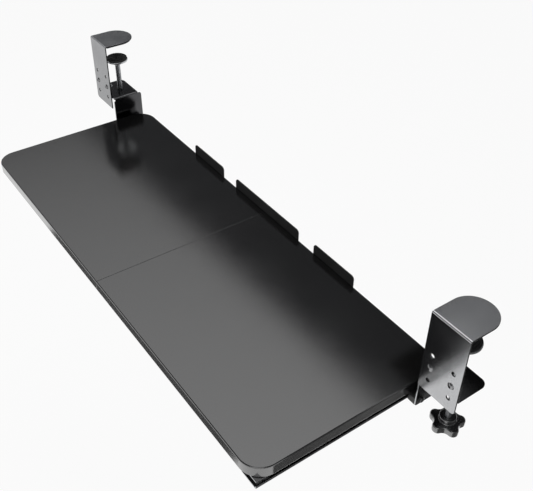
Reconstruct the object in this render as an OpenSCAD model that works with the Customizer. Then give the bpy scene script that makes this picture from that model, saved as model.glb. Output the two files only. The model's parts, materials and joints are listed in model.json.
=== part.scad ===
// Clamp-on keyboard tray: two boards on a pair of roller rails, hung from two desk clamps.
// X runs along the desk's edge, Y goes in under the desk and Z is up.
// The origin is on the desk's front top edge, half-way between the clamps.
// The tray stands fully pulled out.

/* [Tray boards] */
// Width of the tray, both boards together
tray_w = 680; // [560:5:900]
// Depth of the tray, front to back
tray_d = 254; // [220:1:340]
// Thickness of the boards
board_t = 15; // [12:0.5:22]
// Radius of the boards' outer corners, seen from above
corner_r = 26; // [10:1:40]
// Round-over along the boards' edges
edge_r = 1.6; // [0.5:0.1:3]
// Gap at the seam between the boards
seam_gap = 0.4; // [0.2:0.1:1]

/* [Seam] */
// Diameter of the seam dowels
dowel_d = 8; // [5:0.5:9]
// Length of the seam dowels
dowel_len = 30; // [20:1:50]
// Distance of the end dowels from the front and rear edges
dowel_inset = 36; // [20:1:44]
// Length of the joining bars, across the seam
bar_len = 170; // [120:5:260]
// Width of the joining bars
bar_w = 24; // [16:1:32]
// Thickness of the joining bars
bar_t = 2.5; // [1.5:0.5:4]
// Distance of the joining bars' centre lines from the front and rear edges
bar_inset = 68; // [62:1:80]
// Radius of the joining bars' corners
bar_corner_r = 3; // [1:0.5:6]
// Distance of the outer bar screws from the bars' ends
bar_screw_edge = 12; // [8:0.5:16]
// Distance between neighbouring screws on one side of a bar
bar_screw_gap = 40; // [20:1:44]

/* [Rear stops] */
// Height of the stops above the tray's top
stop_rise = 14; // [8:0.5:30]
// Sheet thickness of the stops
stop_t = 1.5; // [1:0.1:3]
// Depth of the stops' feet under the boards
stop_foot = 22; // [16:1:30]
// Width of the centre stop
centre_stop_w = 147; // [100:1:200]
// Width of each side stop
side_stop_w = 78.5; // [50:0.5:110]
// Space between neighbouring stops
stop_space = 32.5; // [15:0.5:50]
// Radius of the stops' upper corners
stop_corner_r = 5; // [1:0.5:8]
// Distance of the end screws from the stops' ends
stop_screw_edge = 16; // [8:0.5:18]

/* [Rails] */
// Width of the rail channel
rail_w = 26; // [22:0.5:40]
// Height of the rail channel
rail_h = 12; // [11:0.5:20]
// Sheet thickness of the rail
rail_t = 1.5; // [1:0.1:2.5]
// Outer radius of the rail's folds
rail_fold_r = 1.5; // [0.5:0.1:2.5]
// How far the rail's slotted side lies inside the board's end
rail_inset = 2.5; // [0.5:0.5:8]
// How far the rail's front end lies behind the tray's front edge
rail_front_inset = 5; // [2:1:30]
// How far the rail's rear end lies before the tray's rear edge
rail_rear_inset = 2; // [1:0.5:20]
// Length of the front stop plug in the rail
front_plug_len = 5.4; // [3:0.1:20]
// How far the front stop plug lies inside the rail's end
front_plug_recess = 3; // [0:0.5:20]
// Length of the rear stop plug in the rail
rear_plug_len = 6.6; // [3:0.1:20]
// Screws in each rail
rail_screw_count = 4; // [2:1:8]
// Distance of the end screws from the stop plugs
rail_screw_inset = 14; // [6:1:40]
// Clearance of the screwdriver holes round the screw heads, on the diameter
driver_clear = 2; // [0.5:0.5:3]
// Distance of the rail screws from the rail's closed side
rail_screw_offset = 7; // [6.5:0.5:8]

/* [Rollers] */
// Height that the rollers have to spare in the channel
roller_spare = 0.9; // [0.6:0.1:1.5]
// Width of the rollers
roller_w = 7; // [5:0.5:8]
// Diameter of the roller axles
axle_d = 3; // [2.5:0.1:4]
// Height of the axles' heads
axle_head_h = 1.5; // [0.8:0.1:2]
// Step from the rollers' rims in to the axle heads
axle_head_step = 0.7; // [0.5:0.1:1]
// Distance of the rollers' outer faces from the rail's lip
roller_inset = 0.6; // [0.4:0.1:2]
// Distance between the front and rear rollers
roller_pitch = 28; // [14:1:30]
// Distance of the front roller from the drop plate's front edge
roller_margin = 9; // [8:0.5:12]

/* [Guide blocks] */
// Margin of the guide block inside the drop plate's ends
block_margin = 1; // [0.5:0.5:3]
// Radius of the guide block's corners
block_corner_r = 2; // [0.5:0.5:4]

/* [Clamp plates] */
// Sheet thickness of the clamp plates and side brackets
sheet_t = 1.8; // [1.2:0.1:4]
// Inner radius of the folds
bend_r = 0.4; // [0.3:0.1:2]
// Width of the clamp plates
clamp_w = 51.5; // [44:0.5:70]
// Height of the clamp plates
plate_h = 105; // [95:1:140]
// Reach of the tongue from the front of the clamp plate
tongue_reach = 55.8; // [54:0.1:90]
// Thickness of the rubber liner under the tongue
liner_t = 1.7; // [0.5:0.1:3]
// Margin of the liner inside the tongue's outline
liner_margin = 1.5; // [0.5:0.1:4]
// Radius of the plate's lower outer corner
plate_corner_r = 5; // [1:0.5:10]
// Radius of the plate's lower inner corner
plate_inner_r = 0.8; // [0.3:0.1:4]
// Distance between the two columns of holes
hole_columns = 29; // [22:0.5:32]
// Rows of holes, of which the second from below takes the bolts
hole_rows = 3; // [2:1:4]
// Distance between the rows of holes
hole_pitch = 17.5; // [12:0.5:20]
// Height of the lowest row above the plate's lower edge
hole_rise = 16.5; // [8:0.5:20]

/* [Side brackets] */
// Step from the drop plate's inner face out to the clamp plate's inner edge
clamp_step = 2.5; // [2.5:0.5:12]
// Space between the board's end and the drop plate
side_space = 9; // [5:0.5:14]
// Distance from the bolts down to the flange's top
tab_below = 16; // [11:0.5:20]
// Height of the tab above the bolts
tab_above = 11; // [6:0.5:16]
// Depth of the flange
flange_d = 44.5; // [40:0.5:60]
// Radius of the flange's rear outer corner
flange_corner_r = 8.5; // [2:0.5:14]
// Setback of the drop plate's front edge from the clamp plate
drop_setback = 2; // [1:0.5:8]
// Length of the drop plate
drop_len = 48; // [46:1:80]
// Diameter of the relief notch where the folds meet
relief_d = 4.4; // [3:0.1:5]
// Drop from the flange's top to the tray's top
tray_drop = 32; // [24:1:60]
// Distance that the drop plate reaches below the rear axle
drop_below = 4.5; // [4:0.5:12]
// Radius of the bracket's other free corners
bracket_corner_r = 3; // [1:0.5:5]

/* [Bolts and screws] */
// Diameter of the bracket bolts
bolt_d = 5; // [4:0.1:6]
// Clearance of the bolt holes on the diameter
bolt_clear = 0.4; // [0.2:0.1:0.8]
// Diameter of the bolt heads
bolt_head_d = 8.8; // [7.5:0.1:10]
// Height of the bolt heads
bolt_head_h = 2.5; // [1.8:0.1:3.2]
// Width across the flats of the bolts' key sockets
bolt_key = 3; // [2:0.1:3.4]
// Thickness of the bolt heads under their key sockets
bolt_key_floor = 0.8; // [0.5:0.1:1.5]
// Width across the flats of the bracket nuts
nut_flats = 8; // [7.5:0.1:10]
// Height of the bracket nuts
nut_h = 4; // [3:0.1:5]
// Length of bolt that stands out of its nut
bolt_tail = 1.5; // [0.5:0.1:4]
// Diameter of the wood screws
wood_screw_d = 3.6; // [3:0.1:4]
// Head diameter of the wood screws
wood_head_d = 7; // [6:0.1:7.5]
// Head height of the wood screws
wood_head_h = 2.2; // [1.5:0.1:2.6]
// Depth of the wood screws in the boards
wood_screw_depth = 10; // [6:0.5:10.5]

/* [Clamp screws] */
// Thickness of the desk that the clamps are set for
desk_t = 30; // [15:1:40]
// Distance of the clamp screw behind the desk's edge
screw_y = 27; // [22:0.5:30]
// Diameter of the clamp screw
screw_d = 7.9; // [6:0.1:8.4]
// Clearance of the clamp screw's hole in the flange, on the diameter
screw_clear = 1; // [0.4:0.1:2]
// Length of the clamp screw below the pressure pad
screw_len = 117; // [95:1:140]
// Width across the flats of the welded screw nut
screw_nut_flats = 13; // [12.5:0.1:16]
// Height of the welded screw nut
screw_nut_h = 6.5; // [4:0.1:10]
// Diameter of the pressure pad
pad_d = 34; // [24:1:36]
// Thickness of the pressure pad's disc
pad_t = 3; // [2:0.1:5]
// Thickness of the rubber face on the pressure pad
pad_face_t = 2; // [1:0.1:4]
// Width of the rim that the rubber face leaves free
pad_rim = 1; // [0.2:0.1:3]
// Diameter of the pressure pad's socket
socket_d = 14; // [11:0.5:18]
// Height of the pressure pad's socket
socket_h = 6; // [4:0.5:10]
// Depth of the socket left above the screw's tip
socket_floor = 1; // [0.7:0.1:2]
// Diameter of the screw's tip in the socket
tip_d = 6; // [4:0.1:7]

/* [Star knobs] */
// Diameter of the star knob over its lobes
knob_d = 40; // [32:1:48]
// Thickness of the star
knob_t = 9; // [6:0.5:14]
// Lobes of the star
knob_lobes = 5; // [5:1:6]
// Angle of the star's first lobe from the X axis
knob_turn = 54; // [0:1:72]
// Radius of a lobe's end
lobe_r = 6.2; // [4:0.1:7]
// Distance of the scallops' centres from the knob's axis
scallop_at = 22.5; // [21:0.5:25]
// Diameter of the knob's hub
hub_d = 19; // [14:0.5:22]
// Height of the knob's hub above the star
hub_h = 6; // [3:0.5:10]
// Thickness of the knob under the screw's end
knob_floor = 3; // [1.5:0.5:5]

/* [Hidden] */
$fn = 64;
// Clearance between faces that slide past each other
slide_gap = 0.3;
// Radial clearance of a turning fit
turn_gap = 0.05;
// Radial clearance of a hole round a fixed shank
hole_gap = 0.1;
// Length by which a cutting shape passes the face that it cuts
over = 1;

// Positions across the tray, for the right side
board_x1 = tray_w / 2;
rail_x1 = board_x1 - rail_inset;
rail_x0 = rail_x1 - rail_w;
drop_x0 = board_x1 + side_space;
drop_x1 = drop_x0 + sheet_t;
clamp_x0 = drop_x0 + clamp_step;
clamp_x1 = clamp_x0 + clamp_w;
clamp_xc = (clamp_x0 + clamp_x1) / 2;
fold_r = bend_r + sheet_t;
tab_x0 = drop_x0 + fold_r + relief_d / 2;

// Heights, from the desk's top downwards
tongue_z1 = liner_t + sheet_t;
plate_z0 = tongue_z1 - plate_h;
bolt_z = plate_z0 + hole_rise + hole_pitch;
flange_z1 = bolt_z - tab_below;
flange_z0 = flange_z1 - sheet_t;
tab_z1 = bolt_z + tab_above;
tray_z1 = flange_z1 - tray_drop;
tray_z0 = tray_z1 - board_t;
rail_z0 = tray_z0 - rail_h;

// Rollers, which the rail's two inner faces run on
channel_z1 = tray_z0 - rail_t;
channel_z0 = rail_z0 + rail_t;
roller_d = channel_z1 - channel_z0 - roller_spare;
drop_y1 = drop_setback + drop_len;
front_roller_y = drop_setback + roller_margin;
rear_roller_y = front_roller_y + roller_pitch;
front_roller_z = channel_z1 - slide_gap - roller_d / 2;
rear_roller_z = channel_z0 + slide_gap + roller_d / 2;
drop_z0 = rear_roller_z - drop_below;
lip_z1 = rear_roller_z - axle_d / 2 - slide_gap;
roller_x1 = rail_x1 - rail_t - roller_inset;
roller_x0 = roller_x1 - roller_w;
axle_head_d = roller_d - 2 * axle_head_step;

// Depths: the rear plug rests against the rear roller when the tray is pulled out
rear_plug_y0 = rear_roller_y + roller_d / 2 + slide_gap;
rail_y1 = rear_plug_y0 + rear_plug_len;
tray_y1 = rail_y1 + rail_rear_inset;
tray_y0 = tray_y1 - tray_d;
rail_y0 = tray_y0 + rail_front_inset;
front_plug_y0 = rail_y0 + front_plug_recess;
front_plug_y1 = front_plug_y0 + front_plug_len;
tray_yc = (tray_y0 + tray_y1) / 2;

// Clamp screws
face_z0 = -desk_t - pad_face_t;
disc_z0 = face_z0 - pad_t;
socket_z0 = disc_z0 - socket_h;
screw_z1 = socket_z0 - slide_gap;
screw_z0 = screw_z1 - screw_len;
tip_len = socket_h - socket_floor;
knob_grip = hub_h + knob_t - knob_floor;
hub_z1 = screw_z0 + knob_grip;
star_z1 = hub_z1 - hub_h;
star_z0 = star_z1 - knob_t;
screw_hole_d = screw_d + screw_clear;

// Fasteners
bolt_hole_d = bolt_d + bolt_clear;
bolt_end_y = sheet_t + nut_h + bolt_tail;
bolt_xs = [clamp_xc - hole_columns / 2, clamp_xc + hole_columns / 2];
rail_screw_x = rail_x0 + rail_screw_offset;
rail_screw_y0 = front_plug_y1 + rail_screw_inset;
rail_screw_step = (rear_plug_y0 - rail_screw_inset - rail_screw_y0) / (rail_screw_count - 1);
rail_screw_ys = [for (i = [0 : rail_screw_count - 1]) rail_screw_y0 + i * rail_screw_step];
bar_ys = [tray_y0 + bar_inset, tray_y1 - bar_inset];
bar_screw_x = bar_len / 2 - bar_screw_edge;
bar_screw_xs = [bar_screw_x, bar_screw_x - bar_screw_gap];
dowel_ys = [tray_y0 + dowel_inset, tray_yc, tray_y1 - dowel_inset];
stop_screw_y = tray_y1 - stop_foot / 2;
side_stop_xc = centre_stop_w / 2 + stop_space + side_stop_w / 2;
centre_screw_x = centre_stop_w / 2 - stop_screw_edge;
centre_screw_xs = [centre_screw_x, centre_screw_x / 2];
side_screw_xs = [side_stop_xc - side_stop_w / 2 + stop_screw_edge,
    side_stop_xc + side_stop_w / 2 - stop_screw_edge];
stop_screw_xs = concat(centre_screw_xs, side_screw_xs);

graphite = "#5c5e61";
black_paint = "#2a2a2c";
board_black = "#38383a";
rubber_black = "#1c1c1d";
zinc = "#a8abae";
nylon = "#d8d6cf";
knob_black = "#1a1a1b";
wood = "#c9a877";

module on_right() children();
module on_left() mirror([1, 0, 0]) children();

// Outline in Y and Z, drawn out along X
module along_x(len) rotate([90, 0, 90]) linear_extrude(len) children();

// Outline in X and Z, drawn out towards the front
module towards_front(len) rotate([90, 0, 0]) linear_extrude(len) children();

// What is cut away to round one corner, where dx and dy point into the outline
module corner_cut(x, y, dx, dy, r) {
    difference() {
        translate([min(x - dx * over, x + dx * r), min(y - dy * over, y + dy * r)])
            square(r + over);
        translate([x + dx * r, y + dy * r]) circle(r);
    }
}

function all_round(r) = [r, r, r, r];

// Rectangle with its own radius at each corner: lower left, lower right, upper right, upper left
module outline(x0, y0, x1, y1, radii) {
    corners = [[x0, y0, 1, 1], [x1, y0, -1, 1], [x1, y1, -1, -1], [x0, y1, 1, -1]];
    difference() {
        translate([x0, y0]) square([x1 - x0, y1 - y0]);
        for (i = [0 : 3])
            if (radii[i] > 0)
                corner_cut(corners[i][0], corners[i][1], corners[i][2], corners[i][3], radii[i]);
    }
}

// Quarter of a folded sheet, round Z from the angle given
module fold(len, from)
    rotate([0, 0, from]) rotate_extrude(angle = 90) translate([bend_r, 0]) square([sheet_t, len]);

module fold_along_x(len, from) rotate([90, 0, 90]) fold(len, from);
module fold_along_y(len, from) rotate([-90, 0, 0]) fold(len, from);

// Cylinder along X
module rod_x(x0, x1, d) translate([x0, 0, 0]) rotate([0, 90, 0]) cylinder(h = x1 - x0, d = d);

// Hexagon prism with a width across its flats
module hex_prism(flats, h) cylinder(h = h, d = flats / cos(30), $fn = 6);

// Straight-sided tongue with a round end, inside the clamp plate's width by a margin
module tongue_outline(margin, front_y) {
    half = clamp_w / 2 - margin;
    end_y = tongue_reach - sheet_t - clamp_w / 2;
    translate([clamp_xc - half, front_y]) square([2 * half, end_y - front_y]);
    translate([clamp_xc, end_y]) circle(half);
}

module clamp_plate() color(graphite) {
    fold_y = -sheet_t + fold_r;
    fold_z = tongue_z1 - fold_r;
    difference() {
        union() {
            towards_front(sheet_t)
                outline(clamp_x0, plate_z0, clamp_x1, fold_z, [plate_inner_r, plate_corner_r, 0, 0]);
            translate([clamp_x0, fold_y, fold_z]) fold_along_x(clamp_w, 90);
            translate([0, 0, liner_t]) linear_extrude(sheet_t) tongue_outline(0, fold_y);
        }
        for (x = bolt_xs)
            for (row = [0 : hole_rows - 1])
                translate([x, over, plate_z0 + hole_rise + row * hole_pitch])
                    rotate([90, 0, 0]) cylinder(h = sheet_t + 2 * over, d = bolt_hole_d);
    }
}

module tongue_liner() color(rubber_black)
    linear_extrude(liner_t) tongue_outline(liner_margin, fold_r - sheet_t + liner_margin);

module drop_outline() {
    top = flange_z1 - fold_r;
    difference() {
        outline(drop_setback, drop_z0, drop_y1, top,
            [bracket_corner_r, bracket_corner_r, bracket_corner_r, 0]);
        translate([drop_setback, top - relief_d / 2]) circle(d = relief_d);
    }
}

module side_bracket() color(black_paint) {
    difference() {
        union() {
            translate([0, sheet_t, 0]) towards_front(sheet_t)
                outline(tab_x0, flange_z0 + fold_r, clamp_x1, tab_z1,
                    [0, 0, bracket_corner_r, bracket_corner_r]);
            translate([tab_x0, fold_r, flange_z0 + fold_r]) fold_along_x(clamp_x1 - tab_x0, 180);
            translate([0, 0, flange_z0]) linear_extrude(sheet_t)
                outline(drop_x0 + fold_r, fold_r, clamp_x1, flange_d, [0, 0, flange_corner_r, 0]);
            translate([drop_x0 + fold_r, fold_r, flange_z1 - fold_r])
                fold_along_y(flange_d - fold_r, 180);
            translate([drop_x0, 0, 0]) along_x(sheet_t) drop_outline();
        }
        for (x = bolt_xs)
            translate([x, sheet_t + over, bolt_z])
                rotate([90, 0, 0]) cylinder(h = sheet_t + 2 * over, d = bolt_hole_d);
        translate([clamp_xc, screw_y, flange_z0 - over])
            cylinder(h = sheet_t + 2 * over, d = screw_hole_d);
        roller_axes() rod_x(drop_x0 - over, drop_x1 + over, axle_d + 2 * hole_gap);
    }
}

module bracket_bolts() color(zinc)
    for (x = bolt_xs)
        translate([x, -sheet_t, bolt_z]) rotate([90, 0, 0]) bolt();

// Round-headed bolt with a hexagon socket, its head's underside at the origin and the shank below
module bolt() {
    dome_r = (pow(bolt_head_d / 2, 2) + pow(bolt_head_h, 2)) / (2 * bolt_head_h);
    difference() {
        union() {
            translate([0, 0, -sheet_t - bolt_end_y]) cylinder(h = sheet_t + bolt_end_y, d = bolt_d);
            intersection() {
                cylinder(h = bolt_head_h, d = bolt_head_d);
                translate([0, 0, bolt_head_h - dome_r]) sphere(dome_r);
            }
        }
        translate([0, 0, bolt_key_floor]) hex_prism(bolt_key, bolt_head_h);
    }
}

module bracket_nuts() color(zinc)
    for (x = bolt_xs)
        translate([x, sheet_t, bolt_z]) rotate([-90, 0, 0])
            difference() {
                hex_prism(nut_flats, nut_h);
                translate([0, 0, -over]) cylinder(h = nut_h + 2 * over, d = bolt_d + 2 * turn_gap);
            }

module screw_nut() color(zinc)
    translate([clamp_xc, screw_y, flange_z0 - screw_nut_h])
        difference() {
            hex_prism(screw_nut_flats, screw_nut_h);
            translate([0, 0, -over])
                cylinder(h = screw_nut_h + 2 * over, d = screw_d + 2 * turn_gap);
        }

module front_axis() translate([0, front_roller_y, front_roller_z]) children();
module rear_axis() translate([0, rear_roller_y, rear_roller_z]) children();
module roller_axes() {
    front_axis() children();
    rear_axis() children();
}

module guide_block() color(rubber_black) {
    inner_x = rail_x1 + slide_gap;
    difference() {
        translate([inner_x, 0, 0]) along_x(drop_x0 - inner_x)
            outline(drop_setback + block_margin, rail_z0, drop_y1 - block_margin, tray_z0 - slide_gap,
                all_round(block_corner_r));
        roller_axes() rod_x(inner_x - over, drop_x0 + over, axle_d + 2 * hole_gap);
    }
}

// Axle with a head inside the roller and a riveted head outside the drop plate
module axle() {
    head_x1 = roller_x0 - slide_gap;
    rod_x(head_x1 - axle_head_h, head_x1, axle_head_d);
    rod_x(head_x1 - axle_head_h, drop_x1 + axle_head_h, axle_d);
    rod_x(drop_x1, drop_x1 + axle_head_h, axle_head_d);
}

module roller_axles() color(zinc) roller_axes() axle();

module roller() color(nylon)
    difference() {
        rod_x(roller_x0, roller_x1, roller_d);
        rod_x(roller_x0 - over, roller_x1 + over, axle_d + 2 * turn_gap);
    }

module front_roller() front_axis() roller();
module rear_roller() rear_axis() roller();

// Disc with a raised socket that turns on the clamp screw's tip
module pressure_pad() color(zinc)
    translate([clamp_xc, screw_y, 0])
        difference() {
            union() {
                translate([0, 0, disc_z0]) cylinder(h = pad_t, d = pad_d);
                translate([0, 0, socket_z0]) cylinder(h = socket_h, d = socket_d);
            }
            translate([0, 0, screw_z1 - over])
                cylinder(h = tip_len + over + 2 * slide_gap, d = tip_d + 2 * turn_gap);
        }

module pad_face() color(rubber_black)
    translate([clamp_xc, screw_y, face_z0]) cylinder(h = pad_face_t, d = pad_d - 2 * pad_rim);

module clamp_screw() color(zinc)
    translate([clamp_xc, screw_y, 0]) {
        translate([0, 0, screw_z0]) cylinder(h = screw_len, d = screw_d);
        translate([0, 0, screw_z1]) cylinder(h = tip_len, d = tip_d);
    }

// Star of round lobes whose scallops run into the lobes without a corner
module star_outline() {
    lobe_at = knob_d / 2 - lobe_r;
    half_step = 180 / knob_lobes;
    lobe = [lobe_at, 0];
    scallop = scallop_at * [cos(half_step), sin(half_step)];
    gap = norm(scallop - lobe);
    meet = lobe + (scallop - lobe) * lobe_r / gap;
    difference() {
        circle(norm(meet));
        for (i = [0 : knob_lobes - 1])
            rotate((2 * i + 1) * half_step) translate([scallop_at, 0]) circle(gap - lobe_r);
    }
    for (i = [0 : knob_lobes - 1])
        rotate(2 * i * half_step) translate([lobe_at, 0]) circle(lobe_r);
}

module star_knob() color(knob_black)
    translate([clamp_xc, screw_y, 0])
        difference() {
            union() {
                translate([0, 0, star_z0]) linear_extrude(knob_t) rotate(knob_turn) star_outline();
                translate([0, 0, star_z1]) cylinder(h = hub_h, d = hub_d);
            }
            translate([0, 0, screw_z0]) cylinder(h = knob_grip + over, d = screw_d + 2 * turn_gap);
        }

// Outer end of a board: round corners, with the edge's round-over carried all the way round
module board_blank() {
    inner_x = seam_gap / 2;
    shoulder_x = board_x1 - corner_r;
    translate([inner_x, 0, 0]) along_x(shoulder_x - inner_x)
        outline(tray_y0, tray_z0, tray_y1, tray_z1, all_round(edge_r));
    translate([0, tray_y1 - corner_r, 0]) towards_front(tray_d - 2 * corner_r)
        outline(shoulder_x, tray_z0, board_x1, tray_z1, [0, edge_r, edge_r, 0]);
    for (corner = [[tray_y0 + corner_r, -90], [tray_y1 - corner_r, 0]])
        translate([shoulder_x, corner[0], tray_z0]) rotate([0, 0, corner[1]])
            rotate_extrude(angle = 90) outline(0, 0, corner_r, board_t, [0, edge_r, edge_r, 0]);
}

module pilot_hole(x, y)
    translate([x, y, tray_z0 - over])
        cylinder(h = wood_screw_depth + slide_gap + over, d = wood_screw_d + 2 * hole_gap);

module tray_board() color(board_black)
    difference() {
        board_blank();
        for (y = rail_screw_ys) pilot_hole(rail_screw_x, y);
        for (y = bar_ys)
            for (x = bar_screw_xs) pilot_hole(x, y);
        for (x = stop_screw_xs) pilot_hole(x, stop_screw_y);
        for (y = dowel_ys)
            translate([0, y, tray_z0 + board_t / 2])
                rod_x(-over, dowel_len / 2 + slide_gap, dowel_d + 2 * hole_gap);
    }

// Channel with a slot towards the drop plate, which leaves a low lip on the outer side
module rail_outline()
    difference() {
        outline(rail_x0, rail_z0, rail_x1, tray_z0, [rail_fold_r, rail_fold_r, 0, rail_fold_r]);
        translate([rail_x0 + rail_t, channel_z0])
            square([rail_w - 2 * rail_t, channel_z1 - channel_z0]);
        translate([rail_x1 - rail_t - over, lip_z1]) square([rail_t + 2 * over, channel_z1 - lip_z1]);
    }

module rail() color(black_paint)
    difference() {
        translate([0, rail_y1, 0]) towards_front(rail_y1 - rail_y0) rail_outline();
        for (y = rail_screw_ys) {
            translate([rail_screw_x, y, channel_z1 - over])
                cylinder(h = rail_t + 2 * over, d = wood_screw_d + 2 * hole_gap);
            translate([rail_screw_x, y, rail_z0 - over])
                cylinder(h = rail_t + 2 * over, d = wood_head_d + driver_clear);
        }
    }

module rail_plug(y0, len)
    translate([rail_x0 + rail_t, y0, channel_z0])
        cube([rail_w - 2 * rail_t, len, channel_z1 - channel_z0]);

module rail_front_stop() color(rubber_black) rail_plug(front_plug_y0, front_plug_len);
module rail_rear_stop() color(rubber_black) rail_plug(rear_plug_y0, rear_plug_len);

// Wood screw driven upwards, the underside of its head at the height given
module wood_screw(x, y, z) {
    translate([x, y, z - wood_head_h]) cylinder(h = wood_head_h, d = wood_head_d);
    translate([x, y, z]) cylinder(h = tray_z0 + wood_screw_depth - z, d = wood_screw_d);
}

module rail_screws() color(zinc)
    for (y = rail_screw_ys) wood_screw(rail_screw_x, y, channel_z1);

module joining_bar(y) color(zinc)
    difference() {
        translate([0, 0, tray_z0 - bar_t]) linear_extrude(bar_t)
            outline(-bar_len / 2, y - bar_w / 2, bar_len / 2, y + bar_w / 2, all_round(bar_corner_r));
        for (side = [-1, 1])
            for (x = bar_screw_xs)
                translate([side * x, y, tray_z0 - bar_t - over])
                    cylinder(h = bar_t + 2 * over, d = wood_screw_d + 2 * hole_gap);
    }

module front_joining_bar() joining_bar(bar_ys[0]);
module rear_joining_bar() joining_bar(bar_ys[1]);

module joining_screws() color(zinc)
    for (y = bar_ys)
        for (side = [-1, 1])
            for (x = bar_screw_xs) wood_screw(side * x, y, tray_z0 - bar_t);

module seam_dowels() color(wood)
    for (y = dowel_ys)
        translate([0, y, tray_z0 + board_t / 2]) rod_x(-dowel_len / 2, dowel_len / 2, dowel_d);

// Angle plate: a foot under the board and an upright against the board's rear edge
module rear_stop(xc, w, screw_xs) color(black_paint)
    difference() {
        union() {
            translate([0, tray_y1 + stop_t, 0]) towards_front(stop_t)
                outline(xc - w / 2, tray_z0 - stop_t, xc + w / 2, tray_z1 + stop_rise,
                    [0, 0, stop_corner_r, stop_corner_r]);
            translate([xc - w / 2, tray_y1 - stop_foot, tray_z0 - stop_t])
                cube([w, stop_foot + stop_t, stop_t]);
        }
        for (x = screw_xs)
            translate([x, stop_screw_y, tray_z0 - stop_t - over])
                cylinder(h = stop_t + 2 * over, d = wood_screw_d + 2 * hole_gap);
    }

module rear_stop_centre()
    rear_stop(0, centre_stop_w, concat(centre_screw_xs, [for (x = centre_screw_xs) -x]));
module rear_stop_side() rear_stop(side_stop_xc, side_stop_w, side_screw_xs);

module stop_screws() color(zinc)
    for (side = [-1, 1])
        for (x = stop_screw_xs) wood_screw(side * x, stop_screw_y, tray_z0 - stop_t);

on_left() clamp_plate();  // clamp_plate_left
on_right() clamp_plate();  // clamp_plate_right
on_left() tongue_liner();  // tongue_liner_left
on_right() tongue_liner();  // tongue_liner_right
on_left() side_bracket();  // side_bracket_left
on_right() side_bracket();  // side_bracket_right
on_left() bracket_bolts();  // bracket_bolts_left
on_right() bracket_bolts();  // bracket_bolts_right
on_left() bracket_nuts();  // bracket_nuts_left
on_right() bracket_nuts();  // bracket_nuts_right
on_left() screw_nut();  // screw_nut_left
on_right() screw_nut();  // screw_nut_right
on_left() guide_block();  // guide_block_left
on_right() guide_block();  // guide_block_right
on_left() roller_axles();  // roller_axles_left
on_right() roller_axles();  // roller_axles_right
on_left() front_roller();  // front_roller_left
on_right() front_roller();  // front_roller_right
on_left() rear_roller();  // rear_roller_left
on_right() rear_roller();  // rear_roller_right
on_left() pressure_pad();  // pressure_pad_left
on_right() pressure_pad();  // pressure_pad_right
on_left() pad_face();  // pad_face_left
on_right() pad_face();  // pad_face_right
on_left() clamp_screw();  // clamp_screw_left
on_right() clamp_screw();  // clamp_screw_right
on_left() star_knob();  // star_knob_left
on_right() star_knob();  // star_knob_right
on_left() tray_board();  // tray_board_left
on_right() tray_board();  // tray_board_right
on_left() rail();  // rail_left
on_right() rail();  // rail_right
on_left() rail_front_stop();  // rail_front_stop_left
on_right() rail_front_stop();  // rail_front_stop_right
on_left() rail_rear_stop();  // rail_rear_stop_left
on_right() rail_rear_stop();  // rail_rear_stop_right
on_left() rail_screws();  // rail_screws_left
on_right() rail_screws();  // rail_screws_right
front_joining_bar();
rear_joining_bar();
joining_screws();
seam_dowels();
on_left() rear_stop_side();  // rear_stop_left
rear_stop_centre();
on_right() rear_stop_side();  // rear_stop_right
stop_screws();
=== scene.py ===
import json
import math

import bmesh
import bpy
from bpy.props import FloatProperty, FloatVectorProperty, IntProperty, PointerProperty
from mathutils import Matrix, Quaternion, Vector


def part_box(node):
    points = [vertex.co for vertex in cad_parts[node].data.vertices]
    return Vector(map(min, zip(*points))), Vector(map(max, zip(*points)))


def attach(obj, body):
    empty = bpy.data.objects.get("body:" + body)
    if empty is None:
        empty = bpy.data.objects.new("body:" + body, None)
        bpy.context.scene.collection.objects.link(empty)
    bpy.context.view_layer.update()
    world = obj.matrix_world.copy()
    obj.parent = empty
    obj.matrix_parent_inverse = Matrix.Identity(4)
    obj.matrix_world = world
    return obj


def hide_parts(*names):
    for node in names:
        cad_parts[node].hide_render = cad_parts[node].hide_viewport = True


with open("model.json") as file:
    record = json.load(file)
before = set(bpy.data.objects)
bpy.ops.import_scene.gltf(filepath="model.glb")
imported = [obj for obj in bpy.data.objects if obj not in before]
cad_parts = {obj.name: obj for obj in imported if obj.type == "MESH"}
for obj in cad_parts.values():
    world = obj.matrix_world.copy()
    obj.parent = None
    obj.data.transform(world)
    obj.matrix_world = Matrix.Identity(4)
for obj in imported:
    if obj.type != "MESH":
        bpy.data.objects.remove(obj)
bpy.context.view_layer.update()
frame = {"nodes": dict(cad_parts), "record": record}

bl_info = {
    "name": "Keyboard tray looks",
    "version": (1, 0, 0),
    "blender": (4, 5, 0),
    "location": "3D View > Sidebar > Keyboard tray",
    "description": "Dresses the clamp-on keyboard tray and sets its stage",
    "category": "Object",
}

MM = 0.001
SIDES = ("left", "right")
ENDS = ("front", "rear")
BODY_OF = {
    node: body
    for body, nodes in frame["record"]["behaviour"]["bodies"].items()
    for node in nodes
}

# Distance under which two points of a mesh are one
WELD = 0.002 * MM
# Faces that lie flatter than this to each other become one
FLAT_ANGLE = math.radians(0.3)
# Edges sharper than this are rounded, and stay sharp in the shading of a turned piece
SHARP_ANGLE = math.radians(38)


def length(label, text, value_mm, low=0.0):
    """Property for a length, given in millimetres."""
    return FloatProperty(
        name=label, description=text, default=value_mm * MM, min=low, unit="LENGTH", precision=5
    )


def colour(label, text, *rgb):
    """Property for a colour, in linear light."""
    return FloatVectorProperty(
        name=label, description=text, default=rgb, min=0, max=1, size=3, subtype="COLOR"
    )


def amount(label, text, value, high=1.0):
    """Property for a plain number."""
    return FloatProperty(name=label, description=text, default=value, min=0, max=high)


def degrees(label, text, value):
    """Property for an angle, given in degrees."""
    return FloatProperty(name=label, description=text, default=math.radians(value), subtype="ANGLE")


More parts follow.
